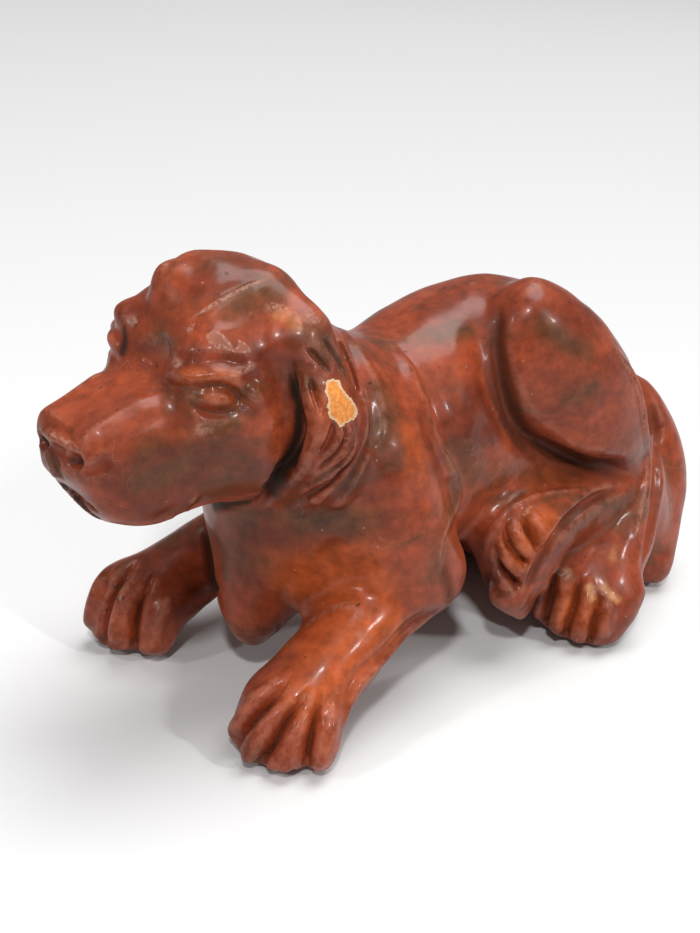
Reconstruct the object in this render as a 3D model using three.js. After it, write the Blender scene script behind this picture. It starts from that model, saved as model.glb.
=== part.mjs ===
// A dog carved from one block of red-brown stone, lying down with its head up.
// Both fore legs reach forwards, the hips are rolled onto the right side and both hind feet show on the left.
// Millimetres. -X is forwards, -Y is the dog's left, +Z is up, and the paws rest on z = 0.
// The carving is one field of distances: rounded masses joined with soft fillets, meshed with cubes.
import * as THREE from "three";
import { triTable } from "three/addons/objects/MarchingCubes.js";

// Driving dimensions.
const BACK_HEIGHT = 65;
const BACK_RADIUS = 18;
const HEAD_TOP = 78;
const LEFT = -1;
const RIGHT = 1;

// The mesh: small cubes over the head and the carved left side, larger ones over the plain right side.
const FINE_STEP = 2.6;
const MIDDLE_STEP = 3;
const COARSE_STEP = 3.8;
const LENGTH_SPAN = [-80, 78];
const WIDTH_SPAN = [-42, 40];
const HEAD_BACK = -28;
const CARVED_SIDE_END = 4;
const MARGIN = 3;
const GROUND_SNAP = 0.25;

const at = (x, y, z) => new THREE.Vector3(x, y, z);
const degrees = THREE.MathUtils.degToRad;

// Fields: each takes x, y, z and gives the distance to a surface, negative inside.

// An ellipsoid with its half-axes along X, Y and Z before it is turned.
function ball(centre, radii, turn = {}) {
  const { roll = 0, pitch = 0, yaw = 0 } = turn;
  const euler = new THREE.Euler(degrees(roll), degrees(pitch), degrees(yaw), "ZYX");
  const m = new THREE.Matrix4().makeRotationFromEuler(euler).transpose().elements;
  const [rx, ry, rz] = radii;
  return (x, y, z) => {
    const px = x - centre.x, py = y - centre.y, pz = z - centre.z;
    const u = (m[0] * px + m[4] * py + m[8] * pz) / rx;
    const v = (m[1] * px + m[5] * py + m[9] * pz) / ry;
    const w = (m[2] * px + m[6] * py + m[10] * pz) / rz;
    const size = Math.sqrt(u * u + v * v + w * w);
    const slope = Math.sqrt((u / rx) ** 2 + (v / ry) ** 2 + (w / rz) ** 2);
    return slope < 1e-9 ? -Math.min(rx, ry, rz) : (size * (size - 1)) / slope;
  };
}

// A cone with round ends of two radii.
function roundCone(a, b, ra, rb) {
  const ba = b.clone().sub(a);
  const l2 = ba.lengthSq(), rr = ra - rb, a2 = l2 - rr * rr, il2 = 1 / l2;
  return (x, y, z) => {
    const px = x - a.x, py = y - a.y, pz = z - a.z;
    const along = px * ba.x + py * ba.y + pz * ba.z, past = along - l2;
    const qx = px * l2 - ba.x * along, qy = py * l2 - ba.y * along, qz = pz * l2 - ba.z * along;
    const x2 = qx * qx + qy * qy + qz * qz, y2 = along * along * l2, z2 = past * past * l2;
    const k = Math.sign(rr) * rr * rr * x2;
    if (Math.sign(past) * a2 * z2 > k) return Math.sqrt(x2 + z2) * il2 - rb;
    if (Math.sign(along) * a2 * y2 < k) return Math.sqrt(x2 + y2) * il2 - ra;
    return (Math.sqrt(x2 * a2 * il2) + along * rr) * il2 - ra;
  };
}

// A limb follows a smooth curve through its stations, each a point and the limb's radius there.
function limb(...stations) {
  const steps = (stations.length - 1) * (stations.length > 2 ? 3 : 1);
  const curve = new THREE.CatmullRomCurve3(stations.map(([point]) => point));
  const radius = (t) => {
    const s = t * (stations.length - 1), i = Math.min(Math.floor(s), stations.length - 2);
    return THREE.MathUtils.lerp(stations[i][1], stations[i + 1][1], s - i);
  };
  const cones = [];
  for (let i = 0; i < steps; i++) {
    const t0 = i / steps, t1 = (i + 1) / steps;
    cones.push(roundCone(curve.getPoint(t0), curve.getPoint(t1), radius(t0), radius(t1)));
  }
  return (x, y, z) => {
    let d = Infinity;
    for (const cone of cones) d = Math.min(d, cone(x, y, z));
    return d;
  };
}

// Joins fields with a fillet of about the given size.
function join(fillet, ...fields) {
  return (x, y, z) => {
    let d = fields[0](x, y, z);
    for (let i = 1; i < fields.length; i++) d = filletedMin(d, fields[i](x, y, z), fillet);
    return d;
  };
}

// Cuts a field with another, leaving a rounded edge.
function carve(fillet, field, cutter) {
  return (x, y, z) => -filletedMin(-field(x, y, z), cutter(x, y, z), fillet);
}

function filletedMin(a, b, k) {
  const h = Math.max(k - Math.abs(a - b), 0) / k;
  return Math.min(a, b) - (h * h * k) / 4;
}

// The barrel of the body from the shoulders to the rump, with the chest's keel between the fore legs.
function torso() {
  const spine = BACK_HEIGHT - BACK_RADIUS;
  const back = limb(
    [at(-12, -1, spine - 9), BACK_RADIUS - 1],
    [at(12, -0.5, spine - 0.5), BACK_RADIUS - 0.3],
    [at(27, -2, spine - 2.5), BACK_RADIUS - 0.5],
    [at(41, -2, spine - 14), BACK_RADIUS - 4],
  );
  const belly = limb([at(-14, 0, 32), 16.5], [at(12, 0, 34), 18], [at(30, 0, 30), 19]);
  const barrel = join(8, back, belly);
  const chest = ball(at(-23.5, 1.5, 36), [15.5, 17.5, 21.5]);
  const keel = limb([at(-26, 1.5, 28), 11], [at(-30.5, 1.5, 16), 7.5], [at(-32, 1, 9.3), 3.6]);
  const seat = ball(at(40, 2, 19), [20, 23, 20]);
  return join(8, barrel, join(4, chest, keel), seat);
}

// A shoulder blade and upper arm, down to the elbow.
function shoulder(side) {
  return join(
    4,
    ball(at(-17.5, side * 13, 33.5), [10.5, 10.5, 20], { pitch: -8 }),
    limb([at(-16, side * 16, 30), 9], [at(-11, side * 17, 23), 8]),
  );
}

// A fore leg from the elbow to the toes; each toe has its tip, its knuckle and its thickness.
function foreLeg(elbow, wrist, toes) {
  const middle = elbow.clone().lerp(wrist, 0.5).add(at(0, 0, 1));
  const forearm = limb([elbow, 8], [middle, 6.8], [wrist, 7.6]);
  const fingers = toes.map(([tip, knuckle, r]) => limb([wrist, r + 1.5], [knuckle, r + 1], [tip, r]));
  return join(2.5, forearm, ...fingers);
}

function thigh() {
  return ball(at(28.3, -15, 45.6), [12.5, 10.5, 26.3], { roll: -8, pitch: -38 });
}

function farThigh() {
  const upper = limb([at(28, 10, 40), 13], [at(38, 16, 25), 14]);
  const lower = limb([at(38, 18, 14), 13], [at(16, 19, 10), 10]);
  return join(6, upper, lower);
}

// Both hind feet show on the left: the right one comes out from under the belly, and the left stands over it.
function hindFeet() {
  const underLeg = limb([at(44, -17, 25), 7], [at(24, -18, 25), 8.5], [at(11, -19, 24), 7.5]);
  const underFoot = limb([at(11, -19, 24), 7.5], [at(12, -19.5, 15), 5.5]);
  const underToes = [0, 1, 2, 3].map((i) => {
    const knuckle = at(12.5, -25, 26.5).lerp(at(6.5, -22.5, 13.5), i / 3);
    return limb([knuckle, 3], [knuckle.clone().add(at(5, -1, -4)), 2.4]);
  });
  const over = limb([at(46, -20, 24), 6], [at(38, -23, 16), 8], [at(30, -26, 9), 7]);
  const overTips = [at(22.5, -22.5, 3.4), at(22, -26.5, 3.4), at(23.5, -30, 3.4), at(27, -32, 3.4)];
  const overToes = overTips.map((tip) =>
    limb([at(33, -25, 13), 5], [tip.clone().add(at(5, 0.5, 6)), 4], [tip, 3.3]),
  );
  const heel = limb([at(46, -15, 27), 9], [at(50, -17, 17), 8.5], [at(51, -18, 8), 7]);
  const between = limb([at(40, -18, 20), 7], [at(24, -20.5, 13), 5.5]);
  return join(1.5, join(2, underLeg, underFoot, over, heel, between), ...underToes, ...overToes);
}

function neck() {
  return limb([at(-14, 0, 39.5), 16.5], [at(-25, 0, 48), 15.8], [at(-37, 0, 57), 14.5]);
}

function head() {
  const skull = ball(at(-41, 0, 62), [14, 13.8, HEAD_TOP - 62]);
  const brows = [LEFT, RIGHT].map((side) => ball(at(-49.2, side * 7.8, 64), [6.5, 5.8, 6.3]));
  const cheeks = [LEFT, RIGHT].map((side) => ball(at(-44, side * 7.5, 54), [12, 8, 12]));
  const bridge = [LEFT, RIGHT].map((side) =>
    limb([at(-50, side * 4.5, 55.7), 7.3], [at(-66.5, side * 3.2, 52.8), 4.6]),
  );
  const flews = [LEFT, RIGHT].map((side) => ball(at(-56.5, side * 5, 48.4), [12, 5.8, 8]));
  const jaw = limb([at(-45, 0, 46.5), 7.5], [at(-62.5, 0, 45), 4.4]);
  return join(3, join(4, skull, ...brows, ...cheeks), ...bridge, ...flews, jaw);
}

function ear(side) {
  const flap = ball(at(-34.5, side * 16.5, 53), [8, 5, 14], { pitch: -22 });
  const root = ball(at(-37, side * 13.3, 65.5), [6.3, 4.6, 6.3]);
  return join(3, flap, root);
}

// A round-bottomed channel to be cut along a line of points.
function groove(points, radius) {
  return limb(...points.map((point) => [point, radius]));
}

function tail() {
  return limb(
    [at(49, -3, 36), 8],
    [at(57.5, -7.5, 31.5), 8.5],
    [at(61.3, -13.2, 20.5), 8.2],
    [at(57.3, -19, 9.5), 6],
    [at(53.5, -22.5, 4.8), 4.8],
  );
}

function dog() {
  const leftToes = [
    [at(-45, -14, 3.2), at(-41, -15, 9), 3],
    [at(-48, -18.8, 3.2), at(-43.5, -17.6, 9), 3],
    [at(-46, -23.5, 3.2), at(-41, -20.8, 9), 3],
    [at(-41.3, -27.2, 3.2), at(-38, -24.2, 8.5), 3],
  ];
  const rightToes = [
    [at(-47, 25, 4), at(-43.5, 24.5, 11.5), 3.2],
    [at(-47, 20.5, 3.5), at(-43.5, 20, 11.5), 3.4],
    [at(-42.5, 15.5, 3.8), at(-40, 16, 10.5), 3.9],
  ];
  let body = join(7, torso(), neck());
  body = join(3, body, shoulder(LEFT), shoulder(RIGHT));
  const shoulderEdge = [[-10, -13, 58], [-9.5, -19.5, 46], [-5, -21, 36], [-7, -22, 27]];
  body = carve(2.5, body, groove(shoulderEdge.map((point) => at(...point)), 1.6));
  body = join(3, body, foreLeg(at(-11.5, -17, 22.5), at(-33.5, -18.8, 11.5), leftToes));
  body = join(3, body, foreLeg(at(-12, 16, 21), at(-36, 19.5, 11), rightToes));
  body = join(1, body, thigh());
  const thighEdge = [[7, -14, 63], [7.5, -18, 50], [14.5, -20, 40.5], [28, -21.5, 31.5], [45, -22.5, 25.5]];
  body = carve(1.5, body, groove(thighEdge.map((point) => at(...point)), 2.6));
  body = join(6, body, farThigh());
  body = join(2, body, hindFeet());
  body = join(2.5, body, tail());
  body = join(6, body, head());
  for (const side of [LEFT, RIGHT]) {
    body = join(1.5, body, ear(side));
    const cheekEdge = [[-42, 15, 66], [-41.5, 17, 58], [-42.5, 17, 50], [-46, 15.5, 43]];
    body = carve(1.2, body, groove(cheekEdge.map(([x, y, z]) => at(x, side * y, z)), 1.9));
  }
  return (x, y, z) => Math.max(body(x, y, z), -z);
}

// Grid lines from one end to the other, closer where the step asks for it.
function gridLines(from, to, stepAt) {
  const lines = [from];
  while (lines[lines.length - 1] < to) lines.push(lines[lines.length - 1] + stepAt(lines[lines.length - 1]));
  return lines;
}

// For each of the 256 ways a cube's corners lie in or out: which loop of the surface each cut edge is on.
const EDGE_CORNERS = [
  [0, 1], [1, 2], [2, 3], [3, 0], [4, 5], [5, 6], [6, 7], [7, 4], [0, 4], [1, 5], [2, 6], [3, 7],
];
const CORNER_STEPS = [
  [0, 0, 0], [1, 0, 0], [1, 1, 0], [0, 1, 0], [0, 0, 1], [1, 0, 1], [1, 1, 1], [0, 1, 1],
];
function loopsOf(code) {
  const loop = new Array(12).fill(-1);
  for (let t = 0; t < 15 && triTable[code * 16 + t] >= 0; t += 3) {
    const edges = [0, 1, 2].map((k) => triTable[code * 16 + t + k]);
    const known = edges.map((e) => loop[e]).filter((l) => l >= 0);
    const label = known.length ? Math.min(...known) : edges[0];
    for (let e = 0; e < 12; e++) if (known.includes(loop[e]) || edges.includes(e)) loop[e] = label;
  }
  return loop;
}

// Meshes the zero surface of a field: one vertex in each cube for each loop of the surface through it,
// moved onto the surface, and one four-sided face across each cut edge of the grid.
function meshField(field, xs, ys, zs) {
  const [nx, ny, nz] = [xs.length, ys.length, zs.length];
  const index = (i, j, k) => i + nx * (j + ny * k);
  const values = new Float64Array(nx * ny * nz);
  for (let k = 0; k < nz; k++)
    for (let j = 0; j < ny; j++)
      for (let i = 0; i < nx; i++) values[index(i, j, k)] = field(xs[i], ys[j], zs[k]);

  const positions = [];
  const vertexOn = new Map();
  const loops = Array.from({ length: 256 }, (_, code) => loopsOf(code));
  const lines = [xs, ys, zs];
  for (let k = 0; k + 1 < nz; k++)
    for (let j = 0; j + 1 < ny; j++)
      for (let i = 0; i + 1 < nx; i++) {
        let code = 0;
        const corners = CORNER_STEPS.map(([a, b, c], n) => {
          const value = values[index(i + a, j + b, k + c)];
          if (value < 0) code |= 1 << n;
          return [i + a, j + b, k + c, value];
        });
        if (code === 0 || code === 255) continue;
        const loop = loops[code];
        for (const label of new Set(loop.filter((l) => l >= 0))) {
          const point = [0, 0, 0];
          let count = 0;
          EDGE_CORNERS.forEach(([c0, c1], e) => {
            if (loop[e] !== label) return;
            const [a, b] = [corners[c0], corners[c1]], t = a[3] / (a[3] - b[3]);
            for (let axis = 0; axis < 3; axis++)
              point[axis] += THREE.MathUtils.lerp(lines[axis][a[axis]], lines[axis][b[axis]], t);
            count++;
          });
          const vertex = positions.length / 3;
          positions.push(...ontoSurface(field, point.map((v) => v / count)));
          loop.forEach((l, e) => {
            if (l === label) vertexOn.set(index(i, j, k) * 12 + e, vertex);
          });
        }
      }

  // The four cubes round an edge of the grid along each axis, and the number that each gives the edge.
  const rings = [
    [[0, 0, 0, 0], [0, -1, 0, 2], [0, -1, -1, 6], [0, 0, -1, 4]],
    [[0, 0, 0, 3], [0, 0, -1, 7], [-1, 0, -1, 5], [-1, 0, 0, 1]],
    [[0, 0, 0, 8], [-1, 0, 0, 9], [-1, -1, 0, 10], [0, -1, 0, 11]],
  ];
  const faces = [];
  for (let k = 1; k + 1 < nz; k++)
    for (let j = 1; j + 1 < ny; j++)
      for (let i = 1; i + 1 < nx; i++)
        rings.forEach((ring, axis) => {
          const here = values[index(i, j, k)] < 0;
          const next = values[index(i + (axis === 0), j + (axis === 1), k + (axis === 2))] < 0;
          if (here === next) return;
          const quad = ring.map(([a, b, c, e]) => vertexOn.get(index(i + a, j + b, k + c) * 12 + e));
          if (!here) quad.reverse();
          faces.push(...splitQuad(field, positions, quad));
        });
  const geometry = new THREE.BufferGeometry();
  geometry.setAttribute("position", new THREE.Float32BufferAttribute(positions, 3));
  geometry.setIndex(faces);
  return geometry;
}

function ontoSurface(field, point) {
  const e = 0.05;
  let [x, y, z] = point;
  for (let step = 0; step < 3; step++) {
    const d = field(x, y, z);
    const g = [
      (field(x + e, y, z) - field(x - e, y, z)) / (2 * e),
      (field(x, y + e, z) - field(x, y - e, z)) / (2 * e),
      (field(x, y, z + e) - field(x, y, z - e)) / (2 * e),
    ];
    const g2 = Math.max(g[0] * g[0] + g[1] * g[1] + g[2] * g[2], 0.2);
    x -= (0.8 * d * g[0]) / g2;
    y -= (0.8 * d * g[1]) / g2;
    z -= (0.8 * d * g[2]) / g2;
  }
  return Math.abs(z) < GROUND_SNAP ? [x, y, 0] : [x, y, z];
}

// Splits a four-sided face along the diagonal that stays closer to the surface.
function splitQuad(field, positions, [a, b, c, d]) {
  const gap = (p, q) => {
    const mid = [0, 1, 2].map((n) => (positions[3 * p + n] + positions[3 * q + n]) / 2);
    return Math.abs(field(...mid));
  };
  return gap(a, c) < gap(b, d) ? [a, b, c, a, c, d] : [a, b, d, b, c, d];
}

const field = dog();
const geometry = meshField(
  field,
  gridLines(...LENGTH_SPAN, (x) => (x < HEAD_BACK ? FINE_STEP : MIDDLE_STEP)),
  gridLines(...WIDTH_SPAN, (y) => (y < CARVED_SIDE_END ? FINE_STEP : COARSE_STEP)),
  gridLines(-MARGIN, HEAD_TOP + MARGIN * 2, () => FINE_STEP),
);

// The part's origin is under the middle of its box.
geometry.computeBoundingBox();
const middle = geometry.boundingBox.getCenter(new THREE.Vector3());
geometry.translate(-middle.x, -middle.y, 0);

const carving = new THREE.Mesh(
  geometry,
  new THREE.MeshStandardMaterial({ color: 0x8a4031, roughness: 0.3, metalness: 0 }),
);
carving.name = "carved_dog";
const group = new THREE.Group();
group.add(carving);
export default group;
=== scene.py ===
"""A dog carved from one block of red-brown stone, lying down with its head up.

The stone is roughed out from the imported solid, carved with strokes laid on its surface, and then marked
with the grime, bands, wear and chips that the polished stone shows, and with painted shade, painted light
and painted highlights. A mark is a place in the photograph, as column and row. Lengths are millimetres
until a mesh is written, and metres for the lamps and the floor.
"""
import math
from typing import NamedTuple

import bpy
import numpy as np
from mathutils import Matrix, Vector
from mathutils.bvhtree import BVHTree


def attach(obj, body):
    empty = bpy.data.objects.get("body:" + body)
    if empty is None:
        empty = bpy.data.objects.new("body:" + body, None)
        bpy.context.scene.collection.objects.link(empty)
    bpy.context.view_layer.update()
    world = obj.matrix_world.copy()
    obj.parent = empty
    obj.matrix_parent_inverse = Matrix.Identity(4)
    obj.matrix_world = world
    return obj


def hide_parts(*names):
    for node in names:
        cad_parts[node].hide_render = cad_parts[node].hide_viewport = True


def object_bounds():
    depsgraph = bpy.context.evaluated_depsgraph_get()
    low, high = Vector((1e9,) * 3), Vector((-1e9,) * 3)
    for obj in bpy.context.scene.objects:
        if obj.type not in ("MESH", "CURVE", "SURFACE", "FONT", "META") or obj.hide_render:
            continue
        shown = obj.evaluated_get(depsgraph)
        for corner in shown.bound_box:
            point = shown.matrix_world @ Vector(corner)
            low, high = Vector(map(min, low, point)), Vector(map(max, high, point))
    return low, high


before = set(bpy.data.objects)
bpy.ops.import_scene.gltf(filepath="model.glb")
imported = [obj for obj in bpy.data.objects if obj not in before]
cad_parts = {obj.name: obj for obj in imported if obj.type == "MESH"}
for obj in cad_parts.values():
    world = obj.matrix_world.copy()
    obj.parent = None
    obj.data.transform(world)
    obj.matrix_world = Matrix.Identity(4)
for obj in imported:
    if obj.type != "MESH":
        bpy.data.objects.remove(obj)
cad_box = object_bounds()

MM = 0.001
NODE = "carved_dog"

# The photograph: its size and the lens, in its own pixels, and where the camera stood, in degrees and
# millimetres.
PHOTO_WIDTH = 700
PHOTO_HEIGHT = 933
FOCAL_LENGTH = 1350
SENSOR = 36
CAMERA_AZIMUTH = -44.7
CAMERA_ELEVATION = 25.0
CAMERA_ROLL = 4.2
CAMERA_DISTANCE = 236.5
CAMERA_AIM = Vector((-10.75, 2.80, 35.0))

# The head's middle plane lies this far to the dog's right of the middle of the frame's box.
MIDLINE = 2.30


def camera_axes():
    """Right, up and back of the camera, as unit vectors."""
    azimuth = math.radians(CAMERA_AZIMUTH)
    elevation = math.radians(CAMERA_ELEVATION)
    roll = math.radians(CAMERA_ROLL)
    level_out = math.cos(elevation)
    back = Vector((math.sin(azimuth) * level_out, -math.cos(azimuth) * level_out, math.sin(elevation)))
    level = (-back).cross(Vector((0, 0, 1))).normalized()
    upright = level.cross(-back)
    right = level * math.cos(roll) + upright * math.sin(roll)
    up = upright * math.cos(roll) - level * math.sin(roll)
    return right, up, back


CAMERA_RIGHT, CAMERA_UP, CAMERA_BACK = camera_axes()
LENS = CAMERA_AIM + CAMERA_BACK * CAMERA_DISTANCE


def make_camera():
    """The camera where the photograph was taken from."""
    data = bpy.data.cameras.new("photo_camera")
    data.sensor_width = SENSOR
    data.lens = SENSOR * FOCAL_LENGTH / PHOTO_HEIGHT
    data.clip_start = 0.005
    data.clip_end = 20
    camera = bpy.data.objects.new("photo_camera", data)
    turn = Matrix((CAMERA_RIGHT, CAMERA_UP, CAMERA_BACK)).transposed().to_4x4()
    camera.matrix_world = Matrix.Translation(LENS * MM) @ turn
    bpy.context.scene.collection.objects.link(camera)
    bpy.context.scene.camera = camera


def only(piece):
    """Makes one piece the selected and active one."""
    bpy.ops.object.select_all(action="DESELECT")
    piece.select_set(True)
    bpy.context.view_layer.objects.active = piece


def apply_modifier(piece, kind, **settings):
    """Adds a modifier to a piece and applies it."""
    only(piece)
    modifier = piece.modifiers.new(kind.lower(), kind)
    for name, value in settings.items():
        setattr(modifier, name, value)
    bpy.ops.object.modifier_apply(modifier=modifier.name)


SKIN_STEP = 0.38
SKIN_SMOOTHING = 10
MERGE_GAP = 0.01
MOST_TRIANGLES = 192000

# The faint ripples that polishing left, in metres.
RIPPLE_SIZE = 0.0075
RIPPLE_HEIGHT = 0.00030


def rough_out():
    """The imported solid's shape with its facets rounded off, as one even skin of small squares."""
    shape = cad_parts[NODE].data.copy()
    shape.materials.clear()
    stone = bpy.data.objects.new("carved_stone", shape)
    bpy.context.scene.collection.objects.link(stone)
    only(stone)
    bpy.ops.object.mode_set(mode="EDIT")
    bpy.ops.mesh.select_all(action="SELECT")
    bpy.ops.mesh.remove_doubles(threshold=MERGE_GAP * MM)
    bpy.ops.mesh.tris_convert_to_quads()
    bpy.ops.object.mode_set(mode="OBJECT")
    apply_modifier(stone, "SUBSURF", levels=1, render_levels=1)
    apply_modifier(stone, "REMESH", mode="VOXEL", voxel_size=SKIN_STEP * MM, use_smooth_shade=True)
    apply_modifier(stone, "SMOOTH", factor=0.5, iterations=SKIN_SMOOTHING)
    ripples = bpy.data.textures.new("polishing_ripples", "CLOUDS")
    ripples.noise_scale = RIPPLE_SIZE
    ripples.noise_depth = 1
    apply_modifier(
        stone, "DISPLACE", texture=ripples, strength=RIPPLE_HEIGHT, mid_level=0.5, texture_coords="LOCAL"
    )
    return stone


# The profiles across a stroke: round, with a sharp middle, with a step up to its left, or flat.
ROUND, SHARP, STEP, FLAT = "round", "sharp", "step", "flat"
STEP_EDGE = 0.22
FLAT_RIM = 2.2

# How finely a line is laid on the surface and smoothed along it, and how far off the skin is looked for.
PATH_STEP = 0.25
CURVE_STEPS = 12
LINE_BLUR = 3
NORMAL_BLUR = 16
GLANCE_DEPTHS = range(150, 310, 2)

# A stroke narrows to a share of its width at its ends, and leaves skin that faces away from it alone.
NARROWEST = 0.4
SPILL = 1.5
GRAZING = 0.05
GRAZING_FADE = 0.6
TOUCH = 0.01
SETTLING_SHARE = 0.5
PAINT_FADE = (0.2, 0.2)

# An outlined patch is looked for this far round its middle and marked this far outside it, in pixels, and
# this deep, in millimetres.
OUTLINE_SPAN = 120
OUTLINE_REACH = 40.0
OUTLINE_DEPTH = 14.0

TINY = 1e-9


class Stroke(NamedTuple):
    """A pass of the tool: marks to follow, width each side, height (a cut is below 0), profile and fades."""

    marks: list
    width: float
    height: float
    kind: str = ROUND
    fade: tuple = (0.25, 0.25)


def eased(share):
    """A smooth rise from 0 to 1."""
    share = np.clip(share, 0, 1)
    return share * share * (3 - 2 * share)


def tapered(share, fade):
    """A stroke's strength along it: it rises over the first share of its length and falls over the last."""
    start, end = fade
    return eased(share / start if start else 1.0) * eased((1 - share) / end if end else 1.0)


def profile_of(kind, off, left):
    """How much of a stroke's height is left at a share of its width from the middle."""
    inside = np.clip(1 - off, 0, 1)
    if kind == ROUND:
        return (1 - np.clip(off, 0, 1) ** 2) ** 2
    if kind == SHARP:
        return inside ** 2
    if kind == FLAT:
        return eased(inside * FLAT_RIM)
    return np.tanh(left / STEP_EDGE) * inside ** 2 * (3 - 2 * inside)


def curve_through(marks):
    """A smooth curve through marks, as many points."""
    marks = np.array(marks, float)
    ends = np.vstack([2 * marks[0] - marks[1], marks, 2 * marks[-1] - marks[-2]])
    share = np.linspace(0, 1, CURVE_STEPS, endpoint=False)[:, None]
    bends = []
    for before, here, after, beyond in zip(ends, ends[1:], ends[2:], ends[3:]):
        bend = 2 * here + (after - before) * share + (2 * before - 5 * here + 4 * after - beyond) * share ** 2
        bends.append((bend + (3 * here - before - 3 * after + beyond) * share ** 3) / 2)
    return np.vstack(bends + [marks[-1:]])


def evenly(points, others):
    """The points of a line set at even small steps, and others that go with them."""
    gaps = np.linalg.norm(np.diff(points, axis=0), axis=1)
    reach = np.concatenate([[0], np.cumsum(gaps)])
    places = np.linspace(0, reach[-1], max(int(reach[-1] / PATH_STEP), 1) + 1)
    tables = [[np.interp(places, reach, column) for column in rows.T] for rows in (points, others)]
    return [np.stack(columns, 1) for columns in tables]


def unit(rows):
    """Directions scaled to a length of 1."""
    return rows / np.maximum(np.linalg.norm(rows, axis=-1, keepdims=True), TINY)


def blurred(rows, passes):
    """A line's points or directions smoothed along it, its ends kept."""
    for _ in range(passes):
        rows = np.vstack([rows[:1], (rows[:-2] + 2 * rows[1:-1] + rows[2:]) / 4, rows[-1:]])
    return rows


def from_photo(column, row):
    """The direction from the lens through a place in the photograph."""
    across = (column - PHOTO_WIDTH / 2) / FOCAL_LENGTH
    upward = (PHOTO_HEIGHT / 2 - row) / FOCAL_LENGTH
    return (CAMERA_RIGHT * across + CAMERA_UP * upward - CAMERA_BACK).normalized()


def on_photo(points):
    """Where points show in the photograph: columns, rows and how far they are from the lens."""
    seen = points - np.array(LENS)
    depth = -seen @ np.array(CAMERA_BACK)
    columns = PHOTO_WIDTH / 2 + FOCAL_LENGTH * (seen @ np.array(CAMERA_RIGHT)) / depth
    rows = PHOTO_HEIGHT / 2 - FOCAL_LENGTH * (seen @ np.array(CAMERA_UP)) / depth
    return columns, rows, depth


def inside_by(outline, columns, rows):
    """How many pixels places lie inside an outline, negative outside it."""
    outline = np.array(outline, float)
    gap = np.full(len(columns), np.inf)
    inside = np.zeros(len(columns), bool)
    for (x0, y0), (x1, y1) in zip(outline, np.roll(outline, -1, 0)):
        length = max((x1 - x0) ** 2 + (y1 - y0) ** 2, TINY)
        share = np.clip(((columns - x0) * (x1 - x0) + (rows - y0) * (y1 - y0)) / length, 0, 1)
        gap = np.minimum(gap, np.hypot(columns - x0 - share * (x1 - x0), rows - y0 - share * (y1 - y0)))
        if y0 != y1:
            inside ^= ((rows > y0) != (rows > y1)) & (columns < (x1 - x0) * (rows - y0) / (y1 - y0) + x0)
    return np.where(inside, gap, -gap)


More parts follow.
